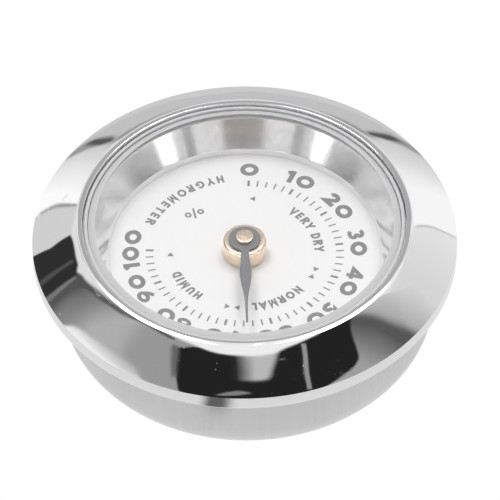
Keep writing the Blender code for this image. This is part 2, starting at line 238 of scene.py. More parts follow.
class Nodes:
    """A short way to write shader nodes."""

    def __init__(self, tree):
        self.tree = tree

    def add(self, kind, **settings):
        node = self.tree.nodes.new(kind)
        for key, value in settings.items():
            setattr(node, key, value)
        return node

    def link(self, source, target):
        self.tree.links.new(source, target)

    def put(self, socket, value):
        if isinstance(value, bpy.types.NodeSocket):
            self.link(value, socket)
        else:
            socket.default_value = value

    def math(self, operation, a, b=0.0):
        node = self.add("ShaderNodeMath", operation=operation)
        self.put(node.inputs[0], a)
        self.put(node.inputs[1], b)
        return node.outputs[0]

    def weigh(self, a, a_weight, b, b_weight):
        """a * a_weight + b * b_weight."""
        return self.math("ADD", self.math("MULTIPLY", a, a_weight), self.math("MULTIPLY", b, b_weight))

    def ramp(self, value, low, high, out_low=0.0, out_high=1.0, smooth=True):
        node = self.add("ShaderNodeMapRange", interpolation_type="SMOOTHSTEP" if smooth else "LINEAR")
        for socket, v in zip(node.inputs[:5], (value, low, high, out_low, out_high)):
            self.put(socket, v)
        return node.outputs[0]

    def mix(self, factor, a, b):
        node = self.add("ShaderNodeMix", data_type="FLOAT")
        self.put(node.inputs[0], factor)
        self.put(node.inputs[2], a)
        self.put(node.inputs[3], b)
        return node.outputs[0]

    def mix_colour(self, factor, a, b):
        node = self.add("ShaderNodeMix", data_type="RGBA")
        self.put(node.inputs[0], factor)
        self.put(node.inputs[6], a)
        self.put(node.inputs[7], b)
        return node.outputs[2]

    def noise(self, vector, detail, roughness=0.55):
        node = self.add("ShaderNodeTexNoise")
        self.put(node.inputs["Vector"], vector)
        node.inputs["Scale"].default_value = 1.0
        node.inputs["Detail"].default_value = detail
        node.inputs["Roughness"].default_value = roughness
        return node.outputs["Fac"]

    def dot(self, vector, axis):
        node = self.add("ShaderNodeVectorMath", operation="DOT_PRODUCT")
        self.link(vector, node.inputs[0])
        node.inputs[1].default_value = axis
        return node.outputs["Value"]

    def stretched(self, *scale):
        """Object coordinates times one number, or one for each axis."""
        coords = self.add("ShaderNodeTexCoord").outputs["Object"]
        node = self.add("ShaderNodeVectorMath", operation="MULTIPLY")
        self.link(coords, node.inputs[0])
        node.inputs[1].default_value = scale if len(scale) == 3 else scale * 3
        return node.outputs[0]

    def polar(self, radial, around, along):
        """(radius, angle, z) of a point about the dial's axis, each scaled."""
        split = self.add("ShaderNodeSeparateXYZ")
        self.link(self.add("ShaderNodeTexCoord").outputs["Object"], split.inputs[0])
        x, y, z = split.outputs
        radius = self.math("SQRT", self.weigh(x, x, y, y))
        angle = self.math("ARCTAN2", y, x)
        join = self.add("ShaderNodeCombineXYZ")
        for socket, value, scale in zip(join.inputs, (radius, angle, z), (radial, around, along)):
            self.link(self.math("MULTIPLY", value, scale), socket)
        return join.outputs[0]


    def finish(self, factor, first, second):
        """Ends a material in a mix of two shaders."""
        mix = self.add("ShaderNodeMixShader")
        for socket, source in zip(mix.inputs, (factor, first.outputs[0], second.outputs[0])):
            self.link(source, socket)
        self.link(mix.outputs[0], self.tree.nodes["Material Output"].inputs["Surface"])


class Surface(Nodes):
    """The nodes of a new material, with its plain values set on the shader."""

    def __init__(self, name, colour, metallic, roughness):
        self.material = bpy.data.materials.new(name)
        self.material.use_nodes = True
        super().__init__(self.material.node_tree)
        self.inputs = self.tree.nodes["Principled BSDF"].inputs
        self.inputs["Base Color"].default_value = (*colour, 1.0)
        self.inputs["Metallic"].default_value = metallic
        self.inputs["Roughness"].default_value = roughness

    def tint(self, factor, first, second):
        """Colours the surface between two tones."""
        self.link(self.mix_colour(factor, (*first, 1.0), (*second, 1.0)), self.inputs["Base Color"])

    def roughen(self, value, low, high, out_low, out_high):
        """Sets the roughness by a pattern's value."""
        self.link(self.ramp(value, low, high, out_low, out_high), self.inputs["Roughness"])

    def relief(self, height, strength, distance):
        """Bumps the surface by a pattern's value."""
        node = self.add("ShaderNodeBump")
        node.inputs["Strength"].default_value = strength
        node.inputs["Distance"].default_value = distance
        self.link(height, node.inputs["Height"])
        self.link(node.outputs["Normal"], self.inputs["Normal"])


def unshaded(name):
    """A new material that has no shader yet, and its nodes."""
    material = bpy.data.materials.new(name)
    material.use_nodes = True
    tree = material.node_tree
    tree.nodes.remove(tree.nodes["Principled BSDF"])
    return material, Nodes(tree)


# ---------------------------------------------------------------- materials


def chrome_material():
    """Bright plating: a faint waviness, wiped smudges and scuffs, and a few specks of dust."""
    n = Surface("chrome_plate", (0.93, 0.93, 0.94), 1.0, 0.03)
    smudge = n.noise(n.stretched(70, 70, 150), 4.0, 0.6)
    fine = n.noise(n.polar(9000, 6, 9000), 2.0)
    wave = n.noise(n.stretched(130), 1.0)
    specks = n.add("ShaderNodeTexVoronoi", feature="F1")
    n.link(n.stretched(900), specks.inputs["Vector"])
    specks.inputs["Scale"].default_value = 1.0
    speck = n.ramp(specks.outputs["Distance"], 0.09, 0.05)
    rare = n.ramp(n.noise(n.stretched(330), 1.0), 0.60, 0.66)
    dust = n.math("MULTIPLY", speck, rare)
    scuff = n.noise(n.polar(1500, 12, 700), 4.0, 0.7)
    scuff = n.math("MULTIPLY", n.ramp(scuff, 0.56, 0.74), n.ramp(smudge, 0.42, 0.6, 0.02, 0.2))
    rough = n.math("ADD", n.ramp(smudge, 0.45, 0.8, 0.025, 0.13), scuff)
    n.link(n.mix(dust, rough, 0.45), n.inputs["Roughness"])
    height = n.math("ADD", n.weigh(fine, 0.03, dust, 0.1), n.math("MULTIPLY", wave, 6.0))
    n.relief(height, 1.0, 0.02 * MM)
    return n.material


def reflector_material():
    """Spun aluminium, polished but hazy and streaky; the flange under the glass is matt and pale."""
    n = Surface("polished_aluminium", (0.88, 0.88, 0.89), 1.0, 0.1)
    streak = n.noise(n.polar(500, 5, 260), 5.0, 0.65)
    lines = n.noise(n.polar(14000, 1.5, 14000), 2.0)
    split = n.add("ShaderNodeSeparateXYZ")
    n.link(n.stretched(1), split.inputs[0])
    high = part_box("reflector_cup")[1][2]
    flange = n.ramp(split.outputs[2], high - 0.12 * MM, high - 0.04 * MM)
    rough = n.ramp(streak, 0.35, 0.75, 0.07, 0.18)
    n.link(n.mix(flange, rough, 0.5), n.inputs["Roughness"])
    n.link(n.mix(flange, 0.8, 0.0), n.inputs["Metallic"])
    tone = n.ramp(streak, 0.3, 0.8)
    polished = n.mix_colour(tone, (0.90, 0.90, 0.91, 1), (0.78, 0.78, 0.78, 1))
    n.link(n.mix_colour(flange, polished, (0.88, 0.88, 0.88, 1)), n.inputs["Base Color"])
    n.relief(lines, 0.12, 0.02 * MM)
    return n.material


def case_material():
    """Drawn, satin-plated can: soft gloss with faint draw marks up the wall."""
    n = Surface("satin_case", (0.66, 0.66, 0.66), 1.0, 0.28)
    draw = n.noise(n.polar(40, 26, 30), 3.0, 0.6)
    cloud = n.noise(n.stretched(90), 4.0)
    grain = n.noise(n.stretched(5200, 5200, 2600), 2.0)
    tone = n.weigh(draw, 0.6, cloud, 0.4)
    n.tint(tone, (0.72, 0.72, 0.72), (0.58, 0.58, 0.58))
    n.roughen(cloud, 0.3, 0.75, 0.24, 0.36)
    height = n.weigh(grain, 0.5, draw, 0.5)
    n.relief(height, 0.15, 0.02 * MM)
    return n.material


def brass_material():
    """Turned brass with tool lines and a little darkening."""
    n = Surface("brass", (0.90, 0.72, 0.55), 1.0, 0.25)
    lines = n.noise(n.polar(11000, 1.0, 9000), 2.0)
    patina = n.noise(n.stretched(700), 4.0, 0.6)
    tone = n.ramp(patina, 0.4, 0.75)
    n.tint(tone, (0.95, 0.78, 0.61), (0.84, 0.65, 0.48))
    n.roughen(patina, 0.3, 0.8, 0.2, 0.34)
    n.relief(lines, 0.25, 0.02 * MM)
    return n.material


def steel_material():
    n = Surface("steel", (0.62, 0.63, 0.65), 1.0, 0.28)
    cloud = n.noise(n.stretched(600), 3.0)
    lines = n.noise(n.polar(9000, 3.0, 9000), 2.0)
    n.tint(cloud, (0.68, 0.69, 0.71), (0.5, 0.51, 0.53))
    n.roughen(cloud, 0.3, 0.7, 0.2, 0.36)
    n.relief(lines, 0.2, 0.01 * MM)
    return n.material


def dial_material():
    """Satin white lacquer with a barely visible mottle and orange peel."""
    n = Surface("dial_white", (0.925, 0.925, 0.925), 0.0, 0.42)
    mottle = n.noise(n.stretched(220), 4.0)
    peel = n.noise(n.stretched(3200), 1.0)
    n.tint(mottle, (0.935, 0.935, 0.935), (0.915, 0.915, 0.915))
    n.roughen(mottle, 0.3, 0.7, 0.38, 0.5)
    n.relief(peel, 0.1, 0.01 * MM)
    return n.material


def ink_material():
    """Grey screen-printed ink, slightly uneven."""
    n = Surface("dial_ink", (0.24, 0.24, 0.245), 0.0, 0.6)
    cover = n.noise(n.stretched(1500), 3.0)
    n.tint(cover, (0.22, 0.22, 0.225), (0.27, 0.27, 0.275))
    return n.material


def pointer_material():
    """Dark grey lacquer on a stamped blade."""
    n = Surface("pointer_grey", (0.17, 0.175, 0.18), 0.3, 0.4)
    cloud = n.noise(n.stretched(900), 3.0)
    grain = n.noise(n.stretched(6000), 1.0)
    n.tint(cloud, (0.235, 0.24, 0.245), (0.18, 0.185, 0.19))
    n.roughen(cloud, 0.3, 0.7, 0.34, 0.5)
    n.relief(grain, 0.15, 0.01 * MM)
    return n.material


def gasket_material():
    n = Surface("grey_gasket", (0.54, 0.54, 0.55), 0.0, 0.4)
    grain = n.noise(n.stretched(2600), 2.0)
    n.tint(grain, (0.58, 0.58, 0.59), (0.50, 0.50, 0.51))
    n.relief(grain, 0.1, 0.01 * MM)
    return n.material


def ground_material():
    """The pane's ground bevel: matt, pale, with faint grinding rings."""
    n = Surface("ground_edge", (0.54, 0.54, 0.54), 0.0, 0.5)
    rings = n.noise(n.polar(5200, 1.5, 5200), 3.0)
    n.tint(rings, (0.585, 0.585, 0.585), (0.495, 0.495, 0.495))
    n.relief(rings, 0.15, 0.01 * MM)
    return n.material


def strip_material():
    """Waxed, moisture-sensitive strip with a fine weave."""
    n = Surface("humidity_strip", (0.66, 0.5, 0.28), 0.0, 0.5)
    weave = n.noise(n.polar(200, 60, 9000), 2.0)
    n.tint(weave, (0.74, 0.58, 0.34), (0.55, 0.4, 0.2))
    n.relief(weave, 0.3, 0.02 * MM)
    return n.material


def pane_material():
    """Flat clear glass: what is behind it shows through unbent, and its two faces mirror a little."""
    material, n = unshaded("clear_glass")
    clear = n.add("ShaderNodeBsdfTransparent")
    clear.inputs["Color"].default_value = (0.99, 0.99, 0.99, 1.0)
    mirror = n.add("ShaderNodeBsdfGlossy")
    mirror.inputs["Color"].default_value = (1.0, 1.0, 1.0, 1.0)
    mirror.inputs["Roughness"].default_value = 0.01
    fresnel = n.add("ShaderNodeFresnel")
    leaving = n.add("ShaderNodeNewGeometry").outputs["Backfacing"]
    n.link(n.mix(leaving, 1.5, 1.0 / 1.5), fresnel.inputs["IOR"])
    n.finish(fresnel.outputs[0], clear, mirror)
    return material


CHROME = chrome_material()
REFLECTOR = reflector_material()
CASE = case_material()
BRASS = brass_material()
STEEL = steel_material()
DIAL = dial_material()
INK = ink_material()
POINTER = pointer_material()
GASKET = gasket_material()
GROUND = ground_material()
STRIP = strip_material()
PANE = pane_material()


# ---------------------------------------------------------------- bezel, window, cup and case


def outer_radius(node):
    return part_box(node)[1][0]


def heights(node):
    low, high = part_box(node)
    return low[2], high[2]


def build_bezel():
    """Lip, bulged sloping face, rounded crest, window bore, cup shelf and skirt."""
    rim = outer_radius("bezel")
    skirt_low, crest = heights("bezel")
    flange = heights("rear_case")[1]
    wall = outer_radius("rear_case")
    window = outer_radius("glass_gasket") + 0.05 * MM
    lip_top = flange + LIP_HEIGHT
    recess = wall + 0.3 * MM
    recess_top = flange + 0.3 * MM
    shelf = heights("reflector_cup")[1] - 0.7 * MM
    throat = outer_radius("front_glass") + 0.1 * MM
    skirt = (wall - 1.5 * MM, wall - 0.9 * MM)

    corners = [
        (skirt[0], skirt_low),
        (skirt[1], skirt_low),
        (skirt[1], recess_top),
        (recess, recess_top),
        (recess, flange),
        (rim - 0.1 * MM, flange),
        (rim, flange + 0.15 * MM),
        (rim, lip_top - 0.08 * MM),
    ]
    body = rounded(corners, [0.1, 0.1, 0.0, 0.0, 0.0, 0.1, 0.15, 0.0], 5)
    face_start, face_end = rim - 0.1 * MM, window + 0.6 * MM
    bulge = 0.22 * MM
    face = []
    for t in np.linspace(0.0, 1.0, 33):
        height = lerp(lip_top, crest - 0.005 * MM, t) + 4.0 * bulge * t * (1.0 - t)
        face.append((lerp(face_start, face_end, t), height))
    bore = [
        face[-1],
        (window, crest),
        (window, shelf),
        (throat, shelf),
        (throat, flange),
        (skirt[0], flange - 0.3 * MM),
    ]
    bore = rounded(bore, [0.0, 0.07, 0.0, 0.1, 0.1, 0.0], 6, closed=False)
    profile = densify(body + face + bore[1:], 1.0 * MM)
    fit(turned("bezel_ring", profile, CHROME), "case", "chrome_plate", "bezel")


def build_window():
    """Pane with a ground bevel, and the gasket ring round it."""
    radius = outer_radius("front_glass")
    low, high = heights("front_glass")
    bevel = 0.85 * MM
    corners = [(0.0, low), (radius, low), (radius, high - 0.3 * MM), (radius - bevel, high), (0.0, high)]
    profile = rounded(corners, [0.0, 0.05, 0.05, 0.05, 0.0], 3, closed=False)
    pane = turned("glass_pane", densify(profile, 2.0 * MM, closed=False), PANE, closed=False)
    pane.data.materials.append(GROUND)
    for face in pane.data.polygons:
        if math.hypot(face.center.x, face.center.y) > radius - bevel and face.center.z > low + 0.02 * MM:
            face.material_index = 1
    fit(pane, "case", "clear_glass", "front_glass")

    outer = outer_radius("glass_gasket")
    inner = radius + 0.05 * MM
    groove = 0.3 * MM
    ring = [(inner, low), (outer, low), (outer, high - groove), (outer - groove * 0.7, high), (inner, high)]
    profile = densify(rounded(ring, [0.05, 0.05, 0.05, 0.05, 0.08], 4), 0.5 * MM)
    fit(turned("gasket_ring", profile, GASKET), "case", "grey_gasket", "glass_gasket")


def build_cup():
    """Conical polished cup with a top flange, a soft lower corner and an upright foot on the dial."""
    low, high = heights("reflector_cup")
    dial = heights("dial_plate")[1]
    flange = outer_radius("reflector_cup")
    sheet = 0.4 * MM
    foot = 16.0 * MM
    top = 18.1 * MM
    foot_low = dial + 0.003 * MM
    corners = [
        (foot, foot_low),
        (foot + sheet, foot_low),
        (foot + sheet, low + 0.6 * MM),
        (top + sheet, high - 0.6 * MM),
        (flange, high - 0.6 * MM),
        (flange, high),
        (top, high),
        (foot + 0.1 * MM, low + 0.75 * MM),
    ]
    radii = [0.0, 0.05, 0.3, 0.1, 0.05, 0.05, 0.05, 0.35]
    profile = densify(rounded(corners, radii, 8), 0.4 * MM)
    fit(turned("cup_wall", profile, REFLECTOR), "case", "polished_aluminium", "reflector_cup")


def build_dial():
    low, high = heights("dial_plate")
    edge = outer_radius("dial_plate")
    hole = 1.9 * MM
    corners = [(hole, low), (edge, low), (edge, high), (hole, high)]
    profile = densify(rounded(corners, [0.05] * 4, 2), 2.0 * MM)
    fit(turned("dial_face", profile, DIAL), "case", "dial_white", "dial_plate")


def build_case():
    """Drawn can with eight countersunk vents and the adjuster's hole; it sits off centre in its clearance."""
    wall = outer_radius("rear_case")
    rim = heights("rear_case")[1] + 0.2 * MM
    sheet = 0.6 * MM
    back = 17.7 * MM
    corner = wall - back
    hole = outer_radius("adjuster") + 0.4 * MM
    chamfer = 0.12 * MM
    profile = [(hole + chamfer, 0.0)]
    profile += arc(back, corner, corner, -90.0, 0.0, 24)
    profile += [(wall, rim), (wall - sheet, rim)]
    profile += arc(back, corner, corner - sheet, 0.0, -90.0, 24)
    profile += [(hole, sheet), (hole, chamfer)]
    mesh = turned_mesh("case_can", densify(profile, 1.2 * MM), WIDE)
    case = new_object("case_can", mesh, CASE)

    vents, vent_circle, vent, lead = 8, 12.4 * MM, 1.25 * MM, 0.2 * MM
    mouth, above = vent + lead + sheet, 2.0 * sheet
    shape = [(0.0, -sheet), (mouth, -sheet), (vent, lead), (vent, above), (0.0, above)]
    cutters = []
    for i in range(vents):
        a = 2.0 * math.pi * (i + 0.5) / vents
        centre = (vent_circle * math.cos(a), vent_circle * math.sin(a))
        cutter = new_object(f"vent_{i}", turned_mesh(f"vent_{i}", shape, 50, False, centre), STEEL)
        modifier = case.modifiers.new(cutter.name, "BOOLEAN")
        modifier.object = cutter
        cutters.append(cutter)
    graph = bpy.context.evaluated_depsgraph_get()
    case.data = bpy.data.meshes.new_from_object(case.evaluated_get(graph))
    case.modifiers.clear()
    for cutter in cutters:
        bpy.data.objects.remove(cutter, do_unlink=True)
    side = math.radians(VIEW_AZIMUTH)
    case.data.transform(Matrix.Translation((CAN_PLAY * math.cos(side), CAN_PLAY * math.sin(side), 0.0)))
    shaded(case.data, 30.0)
    case.data.materials.clear()
    case.data.materials.append(CASE)
    fit(case, "case", "satin_case", "rear_case")


# ---------------------------------------------------------------- boss, pointer and rivet


def build_boss():
    """Brass bush whose boss stands on the dial."""
    low, top = heights("bearing_bush")
    dial = heights("dial_plate")[1]
    boss = outer_radius("bearing_bush")
    neck = 1.6 * MM
    bore = 0.6 * MM
    foot = dial + 0.02 * MM
    corners = [(bore, low), (neck, low), (neck, foot), (boss, foot), (boss, top), (bore, top)]
    radii = [0.05, 0.05, 0.0, 0.08, 0.32, 0.05]
    profile = densify(rounded(corners, radii, 8), 0.4 * MM)
    fit(turned("boss", profile, BRASS, SMALL), "case", "brass", "bearing_bush")


def pointer_outline():
    """Eye, leaf and needle along +X, as one anticlockwise outline."""
    eye = 1.9 * MM
    length = 13.2 * MM
    neck, leaf, needle, tip = 0.49 * MM, 0.70 * MM, 0.17 * MM, 0.12 * MM
    neck_at, leaf_at, needle_at = 2.6 * MM, 5.7 * MM, 9.9 * MM

    def half_width(x):
        if x < leaf_at:
            t = max(0.0, (x - neck_at) / (leaf_at - neck_at))
            return lerp(neck, leaf, t * t * (3.0 - 2.0 * t))
        if x < needle_at:
            t = (x - leaf_at) / (needle_at - leaf_at)
            return lerp(leaf, needle, (1.0 - math.cos(math.pi * t)) / 2.0 * 0.55 + 0.45 * t)
        return lerp(needle, tip, (x - needle_at) / (length - needle_at))

    opening = math.degrees(math.asin(neck / eye))
    right = [(x, half_width(x)) for x in np.linspace(eye + 0.15 * MM, length, 40)]
    outline = [(x, -w) for x, w in right] + [(x, w) for x, w in right[::-1]]
    return outline + arc(0.0, 0.0, eye, opening, 360.0 - opening, 72)


def build_pointer():
    """Stamped pointer with softened edges, turned to its reading at rest."""
    low, high = heights("pointer")
    boss_top = heights("bearing_bush")[1]
    thickness = high - low
    base = boss_top + 0.03 * MM
    hole_radius = 0.6 * MM
    hole = arc(0.0, 0.0, hole_radius, 0.0, 360.0, 40)[:-1]
    outline = pointer_outline()
    verts = [Vector(p) for p in outline + hole]
    count = len(outline)
    loop = [(i, (i + 1) % count) for i in range(count)]
    inner = [(count + i, count + (i + 1) % len(hole)) for i in range(len(hole))]
    flat, _, faces, _, _, _ = delaunay_2d_cdt(verts, loop + inner, [], INSIDE_ONLY, 1e-8)
    kept = []
    for face in faces:
        cx = sum(flat[i].x for i in face) / 3.0
        cy = sum(flat[i].y for i in face) / 3.0
        if math.hypot(cx, cy) > hole_radius:
            kept.append(list(face))
    points = [(v.x, v.y) for v in flat]
    mesh = extruded_mesh("pointer_blade", points, kept, base, base + thickness)
    bm = bmesh.new()
    bm.from_mesh(mesh)
    bmesh.ops.recalc_face_normals(bm, faces=bm.faces)
    bmesh.ops.dissolve_limit(bm, angle_limit=0.001, verts=bm.verts, edges=bm.edges)
    bm.to_mesh(mesh)
    bm.free()
    mesh.transform(Matrix.Rotation(pointer_angle(), 4, "Z"))
    blade = new_object("pointer_blade", shaded(mesh, 50.0), POINTER)
    edge = blade.modifiers.new("edge", "BEVEL")
    edge.width = 0.035 * MM
    edge.segments = 2
    edge.limit_method = "ANGLE"
    edge.angle_limit = math.radians(50.0)
    fit(blade, "pointer_shaft", "pointer_grey", "pointer")

    head = outer_radius("pointer_rivet")
    rivet_low = heights("pointer_rivet")[0]
    under = base + thickness + 0.01 * MM
    top = under + 0.42 * MM
    stem = 0.5 * MM
    crown = top + 0.03 * MM
    corners = [(0.0, rivet_low), (stem, rivet_low), (stem, under), (head, under), (head, top), (0.0, crown)]
    profile = rounded(corners, [0.0, 0.0, 0.0, 0.05, 0.14, 0.0], 8, closed=False)
    rivet = turned("rivet_head", densify(profile, 0.25 * MM, closed=False), BRASS, SMALL, closed=False)
    fit(rivet, "pointer_shaft", "brass", "pointer_rivet")


def pointer_angle():
    """The pointer's direction at rest, read from the CAD blade's box: the tip is the far corner."""
    low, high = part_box("pointer")
    x = high[0] if abs(high[0]) > abs(low[0]) else low[0]
    y = high[1] if abs(high[1]) > abs(low[1]) else low[1]
    return math.atan2(y, x)


# ---------------------------------------------------------------- print on the dial


def stroke(points, width, closed=False):
    """A thick line as quads that meet on mitred joins."""
    pts = [Vector(p) for p in points]
    count = len(pts)
    left, right = [], []
    for i in range(count):
        if closed or 0 < i < count - 1:
            before = (pts[i] - pts[i - 1]).normalized()
            after = (pts[(i + 1) % count] - pts[i]).normalized()
        elif i == 0:
            before = after = (pts[1] - pts[0]).normalized()
        else:
            before = after = (pts[-1] - pts[-2]).normalized()
        along = (before + after).normalized()
        across = Vector((-along.y, along.x))
        reach = width / 2.0 / max(0.35, across.dot(Vector((-before.y, before.x))))
        left.append(pts[i] + across * reach)
        right.append(pts[i] - across * reach)
    quads = []
    for i in range(count if closed else count - 1):
        j = (i + 1) % count
        quads.append([left[i], right[i], right[j], left[j]])
    return [[(p.x, p.y) for p in quad] for quad in quads]


def ellipse(cx, cy, rx, ry, start=0.0, end=360.0, steps=28):
    angles = np.radians(np.linspace(start, end, steps + 1))
    points = [(cx + rx * math.cos(a), cy + ry * math.sin(a)) for a in angles]
    return points[:-1] if abs(end - start) >= 360.0 else points


def line(*points):
    """An open stroke through some points."""
    return list(points), False


# Digits with small counters are drawn with a finer pen.
FINER = {"3": 0.84, "4": 0.88, "5": 0.92, "6": 0.84, "8": 0.78, "9": 0.84}


def digit(char, w):
    """(width, strokes) of a round, bold digit of height 1; each stroke is (points, closed)."""
    h = w / 2.0
    if char == "0":
        return 1.06, [(ellipse(0.53, 0.5, 0.53 - h, 0.5 - h), True)]
    if char == "1":
        return 0.47, [line((0.47 - h, 0.0), (0.47 - h, 1.0)), line((0.47 - h, 0.9), (0.04, 0.74))]
    if char == "2":
        bowl = ellipse(0.38, 0.66, 0.25, 0.34 - h, 172.0, -42.0, 16)
        return 0.80, [(bowl + [(0.17, h), (0.80, h)], False)]
    if char == "3":
        upper = ellipse(0.35, 0.715, 0.22, 0.285 - h, 150.0, -92.0, 14)
        lower = ellipse(0.34, 0.31, 0.27, 0.31 - h, 92.0, -150.0, 14)
        return 0.74, [(upper, False), (lower, False)]
    if char == "4":
        return 0.92, [line((0.92, 0.31), (0.16, 0.31), (0.66, 0.96)), line((0.66, 0.0), (0.66, 1.0))]
    if char == "5":
        bowl = ellipse(0.36, 0.33, 0.27, 0.33 - h, 118.0, -150.0, 16)
        return 0.76, [([(0.70, 1.0 - h), (0.27, 1.0 - h), (0.20, 0.52)] + bowl[1:], False)]
    if char == "7":
        return 0.74, [line((0.0, 1.0 - h), (0.62, 1.0 - h), (0.24, 0.0))]
    if char == "8":
        upper = ellipse(0.42, 0.74, 0.25, 0.26 - h * 0.8)
        lower = ellipse(0.42, 0.295, 0.31, 0.295 - h * 0.9)
        return 0.84, [(upper, True), (lower, True)]
    ring = ellipse(0.43, 0.355, 0.43 - h, 0.355 - h)
    tail = [(0.155, 0.45), (0.30, 0.72), (0.60, 0.97)]
    if char == "6":
        return 0.86, [(ring, True), (tail, False)]
    nine = ((ring, True), (tail, False))
    return 0.86, [([(0.86 - x, 1.0 - y) for x, y in points], closed) for points, closed in nine]


def letter(char, w):
    """(width, strokes) of a plain capital of height 1."""
    h = w / 2.0
    top, low = 1.0 - h, h
    stem = line((h, 0), (h, 1))
    if char == "H":
        return 0.70, [stem, line((0.7 - h, 0), (0.7 - h, 1)), line((h, 0.5), (0.7 - h, 0.5))]
    if char == "Y":
        return 0.72, [line((0.04, 1), (0.36, 0.46), (0.68, 1)), line((0.36, 0.46), (0.36, 0))]
    if char == "G":
        bowl = ellipse(0.46, 0.5, 0.46 - h, 0.5 - h, 42.0, 345.0, 24)
        return 0.86, [(bowl + [(0.86 - h, 0.45)], False), line((0.5, 0.45), (0.86, 0.45))]
    if char == "R":
        bowl = [(h, top)] + ellipse(0.36, 0.73, 0.24, 0.27 - h, 90.0, -90.0, 10) + [(h, 0.46 + h)]
        return 0.64, [stem, (bowl, False), line((0.34, 0.5), (0.60, 0.0))]
    if char == "O":
        return 0.90, [(ellipse(0.45, 0.5, 0.45 - h, 0.5 - h), True)]
    if char == "M":
        return 0.86, [line((h, 0), (h, 1 - h * 0.2), (0.43, 0.2), (0.86 - h, 1 - h * 0.2), (0.86 - h, 0))]
    if char == "E":
        bars = [line((h, y), (0.54, y)) for y in (low, 0.5, top)]
        return 0.56, [stem] + bars
    if char == "T":
        return 0.62, [line((0, top), (0.62, top)), line((0.31, top), (0.31, 0))]
    if char == "V":
        return 0.72, [line((0.05, 1), (0.36, 0.08), (0.67, 1))]
    if char == "D":
        bowl = ellipse(0.3, 0.5, 0.40 - h, 0.5 - h, 80.0, -80.0, 14)
        return 0.70, [stem, ([(h, top), (0.3, top)] + bowl + [(0.3, low), (h, low)], False)]
    if char == "N":
        return 0.72, [line((h, 0), (h, 1 - h), (0.72 - h, h), (0.72 - h, 1))]
    if char == "A":
        return 0.76, [line((0.04, 0), (0.38, 0.94), (0.72, 0)), line((0.17, 0.32), (0.59, 0.32))]
    if char == "L":
        return 0.50, [line((h, 1), (h, low), (0.5, low))]
    if char == "U":
        bowl = [(h, 1)] + ellipse(0.35, 0.36, 0.35 - h, 0.36 - h, 180.0, 360.0, 14) + [(0.7 - h, 1)]
        return 0.70, [(bowl, False)]
    if char == "I":
        return w, [stem]
    if char == "%":
        rings = [(ellipse(x, y, 0.2, 0.22, steps=20), True) for x, y in ((0.28, 0.72), (1.32, 0.28))]
        return 1.6, rings + [line((0.5, 0.0), (1.1, 1.0))]
    return 0.34, []


def glyph(char, w):
    """(width, polygons) of one character with stroke width w."""
    w *= FINER.get(char, 1.0)
    width, strokes = digit(char, w) if char.isdigit() else letter(char, w)
    polygons = []
    for points, closed in strokes:
        polygons += stroke(points, w, closed)
    return width, polygons


class Print:
    """Collects flat shapes on the dial and turns them into one thin printed layer."""

    def __init__(self):
        self.verts, self.faces, self.cache = [], [], {}

    def add(self, polygons, key, place):
        if key not in self.cache:
            self.cache[key] = merge_flat(polygons)
        flat, faces = self.cache[key]
        start = len(self.verts)
        self.verts += [place(x, y) for x, y in flat]
        self.faces += [[start + i for i in face] for face in faces]

    def build(self, name):
        dial = heights("dial_plate")[1]
        mesh = extruded_mesh(name, self.verts, self.faces, dial + 0.002 * MM, dial + 0.02 * MM)
        return fit(new_object(name, mesh, INK), "case", "pointer_grey")


def on_arc(angle, radius, height, inward=False):
    """Places glyph space (x across, y up, centred) at an angle in degrees and a radius on the dial."""
    a = math.radians(angle)
    out = Vector((math.cos(a), math.sin(a)))
    up = -out if inward else out
    across = Vector((up.y, -up.x))

    def place(x, y):
        p = out * radius + across * (x * height) + up * (y * height)
        return (p.x, p.y)

    return place


def add_word(layer, word, middle, radius, height, weight, gap, inward=False, stretch=1.0):
    """Sets a word along an arc: middle is its middle angle, gap the space between letters."""
    widths = [glyph(char, weight)[0] * stretch for char in word]
    total = sum(widths) + gap * (len(word) - 1)
    at = -total / 2.0
    for char, width in zip(word, widths):
        centre = (at + width / 2.0) * height / radius
        angle = middle + math.degrees(centre) * (1.0 if inward else -1.0)
        polygons = [[(x * stretch - width / 2.0, y - 0.5) for x, y in p] for p in glyph(char, weight)[1]]
        if polygons:
            layer.add(polygons, (char, weight), on_arc(angle, radius, height, inward))
        at += width + gap


def percent_angle(value):
    return ZERO_DEG - DEG_PER_PERCENT * value


def build_ticks():
    """A tick every 2 %, thicker every 10 %."""
    layer = Print()
    inner, outer = 10.78 * MM, 11.7 * MM
    for value in range(0, 101, 2):
        half = (0.145 if value % 10 == 0 else 0.085) * MM
        box = [(-half, inner), (half, inner), (half, outer), (-half, outer)]
        layer.add([box], ("tick", half), on_arc(percent_angle(value), 0.0, 1.0))
    layer.build("print_ticks")


def build_numerals():
    layer = Print()
    for value in range(0, 101, 10):
        add_word(layer, str(value), percent_angle(value), 13.47 * MM, 1.98 * MM, 0.28, 0.23, stretch=1.06)
    layer.build("print_numerals")


